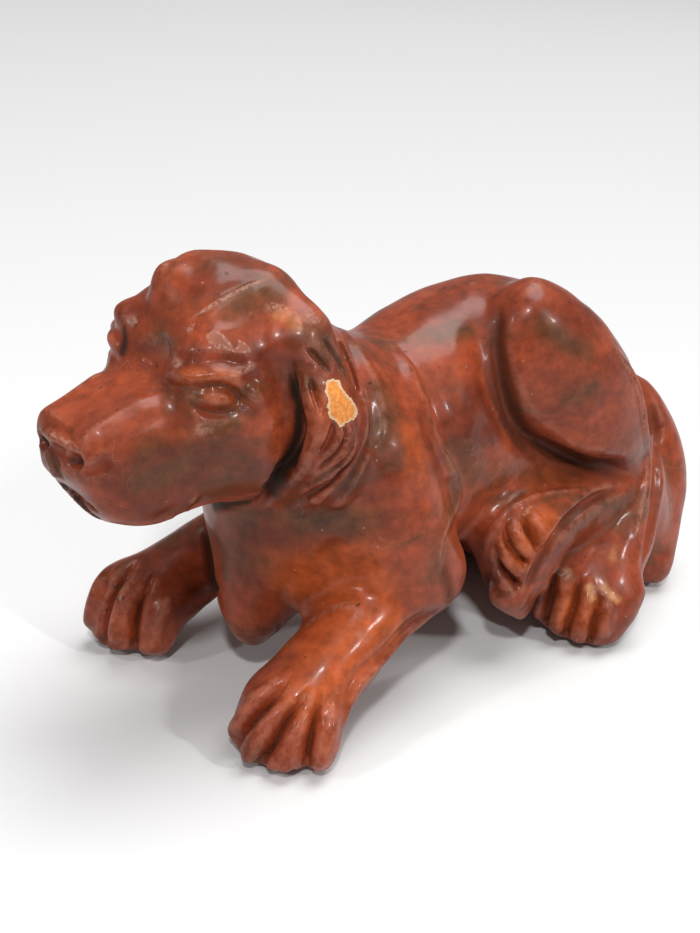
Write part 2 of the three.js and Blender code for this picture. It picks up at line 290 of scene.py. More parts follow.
class Stone:
    """The carving under the tool: its points in millimetres, their outward normals and painted layers."""

    def __init__(self, piece):
        self.piece = piece
        edges = np.empty(len(piece.data.edges) * 2, int)
        piece.data.edges.foreach_get("vertices", edges)
        self.edges = edges.reshape(-1, 2)
        self.read()
        self.touched = np.zeros(len(self.points), bool)
        self.layers = {}

    def read(self):
        """Takes the mesh's points and normals, and a tree to find its surface with."""
        mesh = self.piece.data
        flat = np.empty(len(mesh.vertices) * 3)
        mesh.vertices.foreach_get("co", flat)
        self.points = flat.reshape(-1, 3) / MM
        normals = np.empty(len(mesh.vertices) * 3)
        mesh.vertex_normals.foreach_get("vector", normals)
        self.normals = normals.reshape(-1, 3)
        bpy.context.view_layer.update()
        self.tree = BVHTree.FromObject(self.piece, bpy.context.evaluated_depsgraph_get())

    def write(self, settling=2):
        """Lets the strokes settle into the skin around them, and gives the mesh its new shape."""
        for _ in range(settling):
            soft = self.smoothed(self.points, 1)
            self.points[self.touched] += (soft - self.points)[self.touched] * SETTLING_SHARE
        self.touched[:] = False
        mesh = self.piece.data
        mesh.vertices.foreach_set("co", (self.points * MM).ravel())
        mesh.update()
        self.read()

    def smoothed(self, rows, passes):
        """Values of the points, each pass averaged with their neighbours'."""
        one, other = self.edges.T
        count = np.bincount(self.edges.ravel(), minlength=len(rows)).astype(float)
        table = rows.reshape(len(rows), -1).copy()
        for _ in range(passes):
            for column in table.T:
                total = np.bincount(one, column[other], len(rows))
                total += np.bincount(other, column[one], len(rows))
                column[:] = total / count
        return table.reshape(rows.shape)

    def seen_at(self, column, row):
        """The place and outward normal of the surface that the photograph shows at a mark or beside it."""
        gaze = from_photo(column, row)
        place, normal, _, _ = self.tree.ray_cast(LENS * MM, gaze)
        if place is None:
            beside = [self.tree.find_nearest((LENS + gaze * far) * MM) for far in GLANCE_DEPTHS]
            place, normal, _, _ = min(beside, key=lambda hit: hit[3])
        return np.array(place) / MM, np.array(normal)

    def laid(self, marks):
        """The line on the surface that a curve through marks in the photograph draws."""
        hits = [self.seen_at(*mark) for mark in curve_through(marks)]
        points, normals = [np.array(rows) for rows in zip(*hits)]
        points, normals = evenly(blurred(points, LINE_BLUR), normals)
        return points, unit(blurred(normals, NORMAL_BLUR))

    def mirrored(self, line):
        """The same line on the other side of the head's middle plane, laid on the surface there."""
        points, normals = [], []
        for point in line[0]:
            across = Vector((point[0], 2 * MIDLINE - point[1], point[2])) * MM
            place, normal, _, _ = self.tree.find_nearest(across)
            points.append(np.array(place) / MM)
            normals.append(np.array(normal))
        return blurred(np.array(points), LINE_BLUR), unit(blurred(np.array(normals), NORMAL_BLUR))

    def about(self, line, reach):
        """The points within reach of a line: which, how far off and left of it, its normal, how far along."""
        points, normals = line
        low, high = points.min(0) - reach, points.max(0) + reach
        near = np.flatnonzero(((self.points > low) & (self.points < high)).all(1))
        closest = np.zeros(len(near), int)
        gap = np.full(len(near), np.inf)
        for k, point in enumerate(points):
            away = ((self.points[near] - point) ** 2).sum(1)
            closer = away < gap
            gap[closer] = away[closer]
            closest[closer] = k
        keep = gap < reach ** 2
        near, closest = near[keep], closest[keep]
        along = unit(np.gradient(points, axis=0))
        offset = self.points[near] - points[closest]
        normal = normals[closest]
        leftward = unit(np.cross(normal, along[closest]))
        height = (offset * normal).sum(1, keepdims=True)
        off = np.linalg.norm(offset - height * normal, axis=1)
        left = (offset * leftward).sum(1)
        return near, off, left, normal, closest / (len(points) - 1)

    def press(self, line, stroke):
        """Raises or lowers the skin along a line as a stroke says, tapering off at its start and end."""
        near, off, left, normal, share = self.about(line, stroke.width * SPILL)
        facing = eased(((self.normals[near] * normal).sum(1) - GRAZING) / GRAZING_FADE)
        taper = tapered(share, stroke.fade)
        reach = stroke.width * (NARROWEST + (1 - NARROWEST) * taper)
        amount = stroke.height * profile_of(stroke.kind, off / reach, left / reach) * facing * taper
        self.points[near] += normal * amount[:, None]
        self.touched[near] |= np.abs(amount) > TOUCH

    def carve(self, strokes, mirror=False):
        """Presses strokes where they are marked, and with mirror on the far side of the head too."""
        lines = [self.laid(stroke.marks) for stroke in strokes]
        far_lines = [self.mirrored(line) for line in lines] if mirror else []
        for line, stroke in zip(lines + far_lines, strokes * 2):
            self.press(line, stroke)

    def scrape(self, place, normal, radius, amount=1.0, fill=0.0):
        """Flattens the skin round a place to a plane: what stands proud comes off, hollows may fill."""
        normal = unit(np.array(normal, float))
        away = self.points - place
        height = away @ normal
        flat_gap = np.sqrt(np.maximum((away ** 2).sum(1) - height ** 2, 0))
        weight = profile_of(FLAT, flat_gap / radius, None) * (np.abs(height) < radius)
        weight *= np.clip(self.normals @ normal * 2, 0, 1)
        self.points -= normal * (np.where(height > 0, height * amount, height * fill) * weight)[:, None]

    def facet(self, mark, radius, depth):
        """A flat that the tool left: cuts the skin at a mark down to a plane set a depth below it."""
        place, normal = self.seen_at(*mark)
        normal = unit(normal)
        self.scrape(place - normal * depth, normal, radius)

    def drag_in_photo(self, mark, to, radius):
        """Moves the skin round a mark so that it shows at another, at the same distance from the lens."""
        place, _ = self.seen_at(*mark)
        scale = float((LENS - Vector(place)).dot(CAMERA_BACK)) / FOCAL_LENGTH
        move = CAMERA_RIGHT * (to[0] - mark[0]) * scale - CAMERA_UP * (to[1] - mark[1]) * scale
        weight = profile_of(ROUND, np.linalg.norm(self.points - place, axis=1) / radius, None)
        self.points += np.array(move)[None] * weight[:, None]

    def level(self, line, width, passes):
        """Evens out the skin along a line."""
        near, off, _, _, _ = self.about(line, width)
        weight = np.zeros(len(self.points))
        weight[near] = profile_of(ROUND, off / width, None)
        self.points += (self.smoothed(self.points, passes) - self.points) * weight[:, None]

    def paint(self, layer, line, width, strength):
        """Paints a soft stripe of a layer along a line, out to a width each side."""
        values = self.layers.setdefault(layer, np.zeros(len(self.points)))
        near, off, _, _, share = self.about(line, width)
        amount = strength * tapered(share, PAINT_FADE) * profile_of(ROUND, off / width, None)
        values[near] = np.maximum(values[near], amount)

    def outline(self, layer, marks):
        """A layer that says how many pixels each point near an outline in the photograph lies inside it."""
        values = np.full(len(self.points), -OUTLINE_REACH)
        middle = np.mean(marks, axis=0)
        place = self.seen_at(*middle)[0]
        far = on_photo(place[None])[2][0]
        columns, rows, depths = on_photo(self.points)
        near = self.normals @ np.array(CAMERA_BACK) > 0
        near &= np.abs(depths - far) < OUTLINE_DEPTH
        near &= np.hypot(columns - middle[0], rows - middle[1]) < OUTLINE_SPAN
        values[near] = np.maximum(inside_by(marks, columns[near], rows[near]), -OUTLINE_REACH)
        self.layers[layer] = values

    def finish(self):
        """Hands the painted layers to the mesh."""
        for name, values in self.layers.items():
            layer = self.piece.data.attributes.new(name, "FLOAT", "POINT")
            layer.data.foreach_set("value", values.astype(np.float32))


def model_head(stone):
    """Flat-topped muzzle with a blunt nose, the stop, the brows, and the ridge across the crown."""
    stone.scrape(MUZZLE_TOP, MUZZLE_SLOPE, MUZZLE_RADIUS, amount=0.9, fill=0.5)
    stone.scrape(NOSE_FRONT, NOSE_SLOPE, NOSE_RADIUS, amount=0.85)
    stone.carve(BROW_STROKES, mirror=True)
    stone.carve(STOP_STROKES)
    stone.write()
    for mark, radius, depth in HEAD_FACETS:
        stone.facet(mark, radius, depth)
    for mark, to, radius in HEAD_DRAGS:
        stone.drag_in_photo(mark, to, radius)
    stone.write()
    stone.carve(CROWN_STROKES)
    stone.write()


# Each drag is a mark, the place that it is moved to and a radius; each facet a mark, a radius and a depth.
HEAD_DRAGS = [
    ((168, 285), (158, 272), 5.0),
    ((182, 264), (178, 258), 6.0),
    ((203, 258), (201, 255), 6.0),
    ((277, 290), (285, 280), 8.0),
    ((301, 316), (308, 307), 7.0),
    ((52, 430), (43, 421), 5.0),
    ((62, 474), (53, 474), 5.5),
    ((82, 502), (73, 498), 4.5),
    ((122, 312), (116, 307), 4.0),
    ((107, 332), (112, 331), 3.5),
]
HEAD_FACETS = [
    ((236, 300), 6.0, 0.25),
    ((228, 342), 4.2, 0.3),
    ((150, 318), 5.0, 0.2),
    ((240, 455), 5.0, 0.3),
]
MUZZLE_TOP = (-62.5, MIDLINE, 60.2)
MUZZLE_SLOPE = (-0.34, 0, 0.94)
MUZZLE_RADIUS = 12
NOSE_FRONT = (-69.3, MIDLINE, 52.0)
NOSE_SLOPE = (-0.97, 0, 0.24)
NOSE_RADIUS = 8.5
MUZZLE_EDGE = [(78, 447), (92, 437), (118, 421), (147, 404), (160, 396)]
STOP = [(140, 374), (150, 366), (160, 352), (172, 338)]
SOCKET = [(190, 404), (204, 402), (220, 401), (236, 402), (252, 408)]
BROW_HOLLOW = [(166, 360), (190, 364), (215, 363), (236, 366), (256, 372)]
CROWN_RIDGE = [(187, 323), (200, 313), (214, 304), (243, 288), (272, 277)]
CROWN_STEP = [(272, 279), (243, 290), (214, 306), (187, 326)]
BROW_STROKES = [
    Stroke(MUZZLE_EDGE, width=3.2, height=0.5),
    Stroke(MUZZLE_EDGE, width=1.2, height=0.3, kind=SHARP),
    Stroke(BROW_HOLLOW, width=2.4, height=-0.5),
    Stroke(SOCKET, width=5.0, height=-1.3),
]
STOP_STROKES = [Stroke(STOP, width=4.0, height=-0.9)]
CROWN_STROKES = [
    Stroke(CROWN_RIDGE, width=0.9, height=0.4, kind=SHARP),
    Stroke(CROWN_STEP, width=3.5, height=0.35, kind=STEP),
]


def model_nose(stone):
    """The nose pad overhangs two three-cornered nostrils, with a groove down the front to the lips."""
    stone.carve(NOSTRIL_STROKES, mirror=True)
    stone.carve(LIP_STROKES)
    stone.write()


PAD_RIM = [(45, 430), (53, 435), (64, 441), (73, 447), (82, 454)]
UNDER_PAD = [(50, 444), (58, 449), (66, 456)]
NOSTRIL = [(67, 455), (73, 460), (78, 462), (84, 461)]
NOSTRIL_WING = [(80, 465), (87, 470), (96, 470), (104, 463), (110, 452)]
PHILTRUM = [(43, 437), (46, 450), (51, 466), (56, 478)]
PHILTRUM_SIDE = [(49, 446), (53, 458), (57, 470), (61, 480)]
LIP_LINE = [(53, 484), (60, 485), (68, 489), (77, 499), (86, 509), (99, 519), (113, 528)]
CHIN_EDGE = [(60, 492), (72, 502), (86, 513), (100, 522)]
FLEW_REAR = [(150, 523), (170, 515), (187, 504), (200, 490)]
BEHIND_FLEW = [(160, 527), (180, 519), (196, 508), (206, 493)]
NOSTRIL_STROKES = [
    Stroke(PAD_RIM, width=1.3, height=0.6),
    Stroke(UNDER_PAD, width=1.1, height=-0.4),
    Stroke(NOSTRIL, width=1.4, height=-1.5, fade=(0.3, 0.3)),
    Stroke(NOSTRIL_WING, width=1.1, height=-0.5),
    Stroke(LIP_LINE, width=0.9, height=-1.3, fade=(0.03, 0.25)),
]
LIP_STROKES = [
    Stroke(PHILTRUM, width=0.8, height=0.5),
    Stroke(PHILTRUM_SIDE, width=1.0, height=-0.8),
    Stroke(CHIN_EDGE, width=1.1, height=-0.8),
    Stroke(FLEW_REAR, width=1.4, height=0.5),
    Stroke(BEHIND_FLEW, width=1.5, height=-0.6),
]


def model_eyes(stone):
    """Half-closed almond eyes under a heavy fold, with a crease under the lower lid."""
    stone.carve(EYE_STROKES, mirror=True)
    stone.write(settling=3)


LID_FOLD = [
    (162, 376), (172, 375), (184, 376), (198, 377), (214, 375), (226, 375), (238, 380), (249, 390),
    (260, 399), (270, 410),
]
LID_CREASE = [(170, 387), (188, 388), (202, 386), (216, 384), (229, 389), (240, 400), (251, 406), (262, 412)]
EYEBALL = [(188, 395), (200, 396), (214, 397), (228, 399), (243, 405)]
LOWER_CREASE = [(184, 395), (192, 402), (202, 409), (217, 413), (232, 410), (244, 406)]
LOWER_LID = [(190, 409), (203, 417), (217, 420), (232, 418), (246, 413)]
UNDER_LID = [(196, 426), (214, 430), (232, 425)]
BROW_RIDGE = [(224, 378), (237, 373), (249, 368), (258, 364)]
BROW_REAR = [(236, 383), (250, 379), (262, 378)]
INNER_CORNER = [(150, 386), (162, 388), (176, 390)]
LID_FADE = (0.3, 0.3)
BALL_FADE = (0.45, 0.45)
EYE_STROKES = [
    Stroke(LID_FOLD, width=2.0, height=1.1, fade=LID_FADE),
    Stroke(LID_CREASE, width=1.1, height=-0.7, fade=LID_FADE),
    Stroke(EYEBALL, width=2.4, height=1.5, fade=BALL_FADE),
    Stroke(LOWER_CREASE, width=1.2, height=-0.8, fade=BALL_FADE),
    Stroke(LOWER_LID, width=1.6, height=0.2, fade=LID_FADE),
    Stroke(UNDER_LID, width=1.1, height=-0.25, fade=LID_FADE),
    Stroke(BROW_RIDGE, width=1.2, height=0.5, kind=SHARP, fade=LID_FADE),
    Stroke(BROW_REAR, width=1.6, height=-0.45, fade=LID_FADE),
    Stroke(INNER_CORNER, width=1.4, height=-0.4, fade=LID_FADE),
]


def model_ears(stone):
    """Hanging ears behind a deep groove, with hair lines that sweep from the root round to the tip."""
    groove = stone.laid(CHEEK_GROOVE)
    for line in (groove, stone.mirrored(groove)):
        stone.level(line, width=4.0, passes=12)
    stone.carve(EAR_STROKES, mirror=True)
    stone.write()
    stone.carve(HAIR_STROKES, mirror=True)
    stone.write(settling=0)


CHEEK_GROOVE = [
    (290, 352), (292, 368), (295, 390), (299, 415), (297, 438), (290, 458), (280, 476), (266, 497),
    (258, 508),
]
EAR_FRONT = [(303, 366), (311, 394), (316, 420), (313, 445), (302, 470), (286, 492), (275, 506)]
EAR_LOBE = [(322, 372), (332, 405), (334, 436), (322, 462), (304, 486)]
EAR_REAR = [
    (336, 322), (352, 345), (364, 375), (372, 405), (374, 432), (362, 462), (340, 492), (314, 516),
    (288, 521),
]
EAR_RIM = [
    (326, 326), (342, 348), (354, 376), (362, 405), (363, 431), (352, 457), (331, 484), (306, 505),
    (284, 512),
]
EAR_HAIR = [
    [(331, 418), (334, 430), (331, 441), (324, 452), (316, 460)],
    [(344, 420), (345, 434), (340, 448), (330, 461), (314, 473)],
    [(353, 424), (353, 440), (346, 456), (331, 473), (306, 489)],
    [(362, 434), (356, 452), (343, 471), (322, 489), (295, 502)],
    [(330, 326), (342, 344), (350, 362), (356, 382), (360, 402)],
    [(319, 332), (332, 349), (342, 366), (348, 384)],
    [(303, 346), (314, 353), (325, 364), (334, 378)],
    [(308, 372), (314, 388), (319, 404), (322, 418)],
]
EAR_LOCKS = [
    [(337, 419), (339, 433), (334, 446), (322, 461)],
    [(349, 421), (349, 438), (341, 453), (322, 472)],
    [(357, 428), (353, 448), (338, 468), (312, 488)],
]
EAR_STROKES = [
    Stroke(EAR_LOBE, width=6.0, height=1.3),
    Stroke(CHEEK_GROOVE, width=1.6, height=-2.4, fade=(0.35, 0.1)),
    Stroke(EAR_FRONT, width=1.5, height=0.8),
    Stroke(EAR_REAR, width=1.9, height=-1.1),
    Stroke(EAR_RIM, width=1.9, height=0.8),
]
HAIR_FADE = (0.35, 0.35)
HAIR_STROKES = [Stroke(marks, width=1.0, height=-1.2, fade=HAIR_FADE) for marks in EAR_HAIR]
HAIR_STROKES += [Stroke(marks, width=1.1, height=0.9, fade=HAIR_FADE) for marks in EAR_LOCKS]


def model_shoulder(stone):
    """The shoulder stands proud of the ribs behind it, and the tool left a few flats on the body."""
    stone.carve(SHOULDER_STROKES)
    stone.write()
    for mark, radius, depth in BODY_FACETS:
        stone.facet(mark, radius, depth)
    stone.write()


SHOULDER_EDGE = [
    (373, 332), (393, 345), (411, 365), (422, 388), (431, 414), (441, 440), (453, 460), (461, 480),
    (460, 502), (450, 525), (443, 548), (440, 590),
]
NECK_FOLDS = [
    [(352, 340), (368, 362), (378, 392), (382, 425), (376, 455)],
    [(400, 350), (410, 385), (416, 420), (418, 450)],
]
RIBS = [
    [(448, 408), (452, 436), (466, 466), (480, 490)],
    [(480, 408), (485, 436), (488, 465), (485, 490)],
    [(482, 335), (488, 360), (492, 385), (495, 410)],
]
SHOULDER_STROKES = [Stroke(SHOULDER_EDGE, width=4.0, height=-0.8, kind=STEP)]
SHOULDER_STROKES += [Stroke(marks, width=2.6, height=0.35) for marks in NECK_FOLDS]
SHOULDER_STROKES += [Stroke(marks, width=3.4, height=-0.45) for marks in RIBS]
BODY_FACETS = [
    ((450, 500), 4.5, 0.3),
    ((540, 350), 5.0, 0.15),
    ((420, 470), 6.0, 0.15),
    ((350, 560), 6.0, 0.15),
    ((610, 420), 6.0, 0.15),
]


def model_haunch(stone):
    """The egg-shaped thigh over its deep crease, and the leg's rear ridge down to the foot."""
    stone.drag_in_photo(HIP_TOP, HIP_RAISED, HIP_RADIUS)
    stone.level(stone.laid(THIGH_CREASE), width=6.0, passes=60)
    stone.write()
    stone.carve(HAUNCH_STROKES)
    stone.write()


HIP_TOP = (506, 288)
HIP_RAISED = (505, 280)
HIP_RADIUS = 14.0
BELLY_SIDE = [
    (490, 296), (484, 325), (485, 362), (493, 398), (510, 434), (538, 462), (570, 478), (602, 486),
]
THIGH_CREASE = [
    (516, 283), (504, 296), (498, 315), (498, 342), (502, 366), (507, 390), (516, 416), (532, 437),
    (556, 453), (585, 465), (615, 472), (643, 479),
]
THIGH_RIM = [(520, 300), (513, 325), (515, 360), (522, 392), (535, 418), (560, 438), (595, 450), (630, 455)]
HAUNCH_RIDGE = [
    (600, 331), (620, 356), (636, 384), (644, 422), (647, 451), (647, 480), (641, 512), (632, 560),
]
TAIL_GROOVE = [(640, 380), (653, 410), (657, 445), (658, 482), (655, 516), (648, 542), (638, 574)]
SHANK = [(640, 489), (620, 500), (606, 520), (596, 545)]
HAUNCH_STROKES = [
    Stroke(BELLY_SIDE, width=6.0, height=-1.2, fade=(0.2, 0.3)),
    Stroke(THIGH_CREASE, width=4.5, height=-1.6, fade=(0.75, 0.2)),
    Stroke(THIGH_CREASE, width=2.0, height=-1.0, fade=(0.35, 0.2)),
    Stroke(THIGH_RIM, width=4.0, height=0.9),
    Stroke(HAUNCH_RIDGE, width=1.8, height=0.7),
    Stroke(TAIL_GROOVE, width=2.4, height=-1.4),
    Stroke(SHANK, width=4.0, height=0.6),
]


def carve_toes(stone, ridges, grooves, nails, thickness, depth):
    """Toes swell along their ridges and part at their grooves, each a wide cut with a sharp one in it."""
    strokes = [Stroke(marks, thickness, TOE_SWELL, fade=TOE_FADE) for marks in ridges]
    for marks in grooves:
        strokes.append(Stroke(marks, thickness * 0.6, -depth * 0.6, fade=GROOVE_FADE))
        strokes.append(Stroke(marks, thickness * 0.4, -depth * 0.7, kind=SHARP, fade=GROOVE_FADE))
    strokes += [Stroke(marks, NAIL_WIDTH, -NAIL_DEPTH, fade=NAIL_FADE) for marks in nails]
    stone.carve(strokes)


TOE_SWELL = 1.0
TOE_FADE = (0.4, 0.15)
GROOVE_FADE = (0.5, 0)
NAIL_WIDTH = 0.8
NAIL_DEPTH = 0.4
NAIL_FADE = (0.4, 0.4)


def model_left_paw(stone):
    """Four toes parted by deep grooves, and the sharp lower edge along the fore leg."""
    carve_toes(stone, LEFT_TOE_RIDGES, LEFT_TOE_GROOVES, LEFT_NAILS, thickness=2.3, depth=2.3)
    stone.carve([Stroke(LEFT_LEG_EDGE, width=3.0, height=0.9, kind=STEP)])
    stone.write()


LEFT_TOE_GROOVES = [
    [(296, 668), (282, 686), (266, 706), (250, 722), (242, 731), (234, 748), (231, 760)],
    [(312, 682), (306, 694), (290, 717), (280, 731), (269, 749), (258, 766), (252, 784)],
    [(322, 684), (316, 712), (311, 735), (307, 756), (305, 784)],
]
LEFT_TOE_RIDGES = [
    [(284, 672), (264, 690), (246, 710), (234, 728), (229, 742)],
    [(298, 692), (276, 714), (258, 736), (248, 756), (243, 770)],
    [(308, 705), (298, 728), (290, 750), (283, 775)],
    [(332, 700), (332, 722), (326, 745), (318, 770)],
]
LEFT_NAILS = [
    [(226, 733), (232, 737), (239, 736)],
    [(238, 765), (246, 769), (254, 766)],
    [(276, 778), (284, 781), (292, 777)],
]
LEFT_LEG_EDGE = [(448, 605), (412, 626), (385, 655), (359, 681), (348, 703), (346, 717), (337, 735)]


def model_right_paw(stone):
    """Three blocky toes, and the groove between the leg and the chest."""
    carve_toes(stone, RIGHT_TOE_RIDGES, RIGHT_TOE_GROOVES, RIGHT_NAILS, thickness=2.6, depth=2.0)
    stone.carve([Stroke(CHEST_EDGE, width=2.0, height=-0.8)])
    stone.write()
    for mark in RIGHT_FLATS:
        stone.facet(mark, radius=3.0, depth=0.25)
    stone.write()


RIGHT_TOE_GROOVES = [
    [(146, 551), (137, 561), (125, 575), (114, 590), (108, 607), (103, 626), (101, 656)],
    [(160, 566), (153, 576), (146, 590), (139, 604), (135, 621), (133, 640), (132, 664)],
]
RIGHT_TOE_RIDGES = [
    [(110, 562), (98, 585), (90, 610), (88, 635)],
    [(138, 574), (126, 594), (118, 618), (115, 645)],
    [(172, 590), (162, 610), (156, 632), (154, 655)],
]
RIGHT_NAILS = [
    [(84, 632), (90, 638), (98, 640)],
    [(106, 650), (115, 654), (126, 652)],
    [(140, 655), (150, 658), (162, 655)],
]
RIGHT_FLATS = [(127, 590), (166, 606), (98, 585)]
CHEST_EDGE = [(203, 520), (209, 540), (212, 560), (216, 585), (222, 604)]


def model_hind_feet(stone):
    """Two hind feet, one over the other, each with its toes."""
    for mark, to, radius in FOOT_DRAGS:
        stone.drag_in_photo(mark, to, radius)
    stone.write()
    carve_toes(stone, UNDER_TOE_RIDGES, UNDER_TOE_GROOVES, [], thickness=2.1, depth=1.6)
    carve_toes(stone, OVER_TOE_RIDGES, OVER_TOE_GROOVES, OVER_NAILS, thickness=2.4, depth=1.7)
    stone.carve([Stroke(FOOT_BAND, width=1.5, height=-1.3), Stroke(FOOT_RIM, width=1.2, height=0.5)])
    stone.write(settling=1)


# The last drag is of the web between the chest and the fore leg.
FOOT_DRAGS = [((552, 604), (541, 607), 6.0), ((516, 598), (521, 603), 4.0), ((319, 600), (302, 615), 7.0)]
UNDER_TOE_GROOVES = [
    [(520, 510), (524, 522), (530, 535), (539, 549)],
    [(503, 518), (507, 541), (517, 555), (526, 564)],
    [(493, 542), (499, 563), (508, 574), (517, 585)],
]
UNDER_TOE_RIDGES = [
    [(531, 506), (536, 522), (545, 542)],
    [(510, 515), (518, 540), (529, 558)],
    [(498, 540), (508, 561), (520, 577)],
    [(491, 564), (502, 581), (514, 598)],
]
FOOT_BAND = [(632, 487), (610, 492), (590, 502), (568, 521), (550, 544), (536, 568), (526, 591), (520, 606)]
FOOT_RIM = [(483, 558), (487, 541), (496, 526), (512, 508), (539, 496), (585, 488)]
OVER_TOE_GROOVES = [
    [(557, 569), (549, 601), (542, 624), (541, 640)],
    [(581, 567), (575, 601), (567, 624), (563, 650)],
    [(599, 588), (596, 608), (592, 633), (588, 652)],
]
OVER_TOE_RIDGES = [
    [(549, 575), (542, 598), (535, 622)],
    [(569, 568), (562, 605), (554, 640)],
    [(590, 570), (585, 610), (576, 645)],
    [(610, 588), (607, 615), (600, 640)],
]
OVER_NAILS = [[(544, 626), (552, 629), (562, 629)], [(571, 633), (579, 636), (587, 635)]]


def keep_within(stone):
    """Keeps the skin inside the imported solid's box, so that it stands on the ground."""
    low, high = np.array(cad_box) / MM
    stone.points = np.clip(stone.points, low, high)
    stone.write(settling=0)


def paint_grime_and_shade(stone):
    """Polishing grime in the grooves and painted shade in creases and gaps, on both sides of the head."""
    for marks, width, strength in GRIME_AND_SHADE:
        line = stone.laid(marks)
        stone.paint("grime_and_shade", line, width, strength)
        points = line[0]
        if points[:, 2].min() > HEAD_BOTTOM and points[:, 1].max() < MIDLINE:
            stone.paint("grime_and_shade", stone.mirrored(line), width, strength)


HEAD_BOTTOM = 40.0

# Each painted stripe is its marks, its width each side and its strength.
# The stripes are dark grime in the grooves, which also stands in for painted shade there, and painted shadow
# under the chin, under the thigh and in the gaps between parts.
GRIME_AND_SHADE = [
    (CHEEK_GROOVE, 1.7, 0.9),
    ([(298, 425), (291, 455), (279, 477), (262, 500)], 3.0, 0.85),
    # Painted shadow that the head casts on the neck under the chin.
    ([(262, 497), (245, 502), (225, 504), (208, 506)], 2.4, 0.8),
    (LOWER_CREASE, 0.8, 0.5),
    (LID_CREASE, 0.6, 0.35),
    ([(236, 404), (248, 412), (262, 416)], 2.0, 0.45),
    ([(196, 412), (186, 420), (180, 430)], 3.0, 0.35),
    ([(121, 322), (125, 336), (123, 350), (120, 360)], 1.6, 0.7),
    (NOSTRIL, 1.0, 0.7),
    (LIP_LINE, 0.9, 0.8),
    (PHILTRUM_SIDE, 0.8, 0.5),
    # Painted shade under the overhanging thigh: in its crease and on the flank below it.
    (THIGH_CREASE, 4.0, 0.62),
    ([(512, 400), (530, 430), (560, 450), (600, 466)], 4.5, 0.45),
    (FOOT_BAND, 1.5, 0.45),
    (CHEST_EDGE, 2.4, 0.7),
    (TAIL_GROOVE, 2.0, 0.4),
    # Painted shade in the gaps beside the elbow and beside the chest's keel.
    ([(440, 560), (448, 585), (452, 606)], 3.0, 0.5),
    ([(465, 560), (470, 585), (492, 592)], 3.0, 0.6),
    ([(268, 632), (282, 636), (294, 630)], 2.4, 0.6),
]
GRIME_AND_SHADE += [(marks, 0.7, 0.45) for marks in EAR_HAIR]
TOE_GROOVES = LEFT_TOE_GROOVES + RIGHT_TOE_GROOVES + UNDER_TOE_GROOVES + OVER_TOE_GROOVES
GRIME_AND_SHADE += [(marks, 0.8, 0.22) for marks in TOE_GROOVES]


def paint_bands(stone):
    """Brown-grey bands, orange-red and pale orange places, painted light, and painted shade in deep red."""
    for layer, stripes in (("band", BANDS), ("warm_and_lit", WARM_AND_LIT), ("deep", PAINTED_SHADE), ("pale", PALE)):
        for marks, width, strength in stripes:
            stone.paint(layer, stone.laid(marks), width, strength)
    for layer in ("warm_and_lit", "deep"):
        stone.layers[layer] = stone.smoothed(stone.layers[layer], LAYER_BLUR)


LAYER_BLUR = 6
BANDS = [
    ([(128, 455), (150, 447), (175, 436), (200, 424)], 3.2, 0.7),
    ([(120, 486), (150, 478), (180, 468), (205, 458)], 3.6, 0.75),
    ([(196, 432), (220, 428), (246, 419)], 2.6, 0.85),
    ([(205, 500), (222, 480), (240, 460), (262, 445)], 5.5, 0.5),
    ([(150, 330), (163, 338), (178, 350)], 3.5, 0.6),
    ([(186, 258), (220, 264), (250, 276)], 3.5, 0.45),
    ([(210, 318), (240, 302), (272, 290), (296, 300)], 5.0, 0.8),
    ([(300, 320), (320, 340), (336, 366)], 4.5, 0.7),
    ([(205, 520), (250, 516), (300, 520), (350, 522), (400, 508)], 4.5, 0.8),
    ([(212, 545), (240, 560), (280, 560)], 5.0, 0.4),
    ([(150, 540), (178, 533), (204, 520)], 5.5, 0.8),
    ([(372, 372), (384, 400), (384, 430), (374, 462)], 5.0, 0.75),
    ([(400, 338), (440, 334), (484, 326)], 3.5, 0.8),
    ([(452, 440), (470, 470), (500, 492)], 5.5, 0.6),
    ([(480, 478), (540, 474), (600, 480)], 4.0, 0.5),
    ([(528, 312), (548, 328), (572, 346), (600, 356)], 3.4, 0.8),
    ([(556, 408), (580, 396), (604, 380)], 3.4, 0.65),
    ([(440, 437), (452, 460), (458, 485), (448, 520)], 3.0, 0.8),
    ([(430, 590), (440, 560), (446, 540)], 4.5, 0.6),
    ([(655, 430), (668, 470), (670, 520)], 3.0, 0.5),
]
# Painted shade: deep red laid on the cheek and the muzzle's side, the chest and neck, behind the shoulder, on
# the crown, along the near fore leg's underside and along the far fore paw's toes.
PAINTED_SHADE = [
    ([(118, 482), (170, 485), (215, 470), (255, 438)], 9.0, 1.0),
    ([(225, 535), (300, 545), (380, 530)], 9.0, 0.8),
    ([(335, 482), (362, 474), (374, 440)], 5.0, 0.7),
    ([(452, 370), (478, 410), (492, 460)], 9.0, 0.7),
    ([(180, 285), (230, 282), (262, 300)], 6.0, 0.5),
    ([(452, 614), (415, 642), (382, 674), (362, 704)], 3.6, 0.9),
    ([(84, 640), (110, 652), (150, 655)], 3.0, 0.5),
]
PALE = [
    ([(585, 583), (591, 591), (594, 603)], 1.3, 1.0),
    ([(600, 582), (609, 593), (621, 603)], 1.3, 1.0),
    ([(612, 562), (616, 548)], 1.2, 0.6),
    ([(566, 574), (571, 568)], 1.2, 0.6),
    ([(268, 314), (290, 318), (300, 336)], 1.6, 0.45),
]
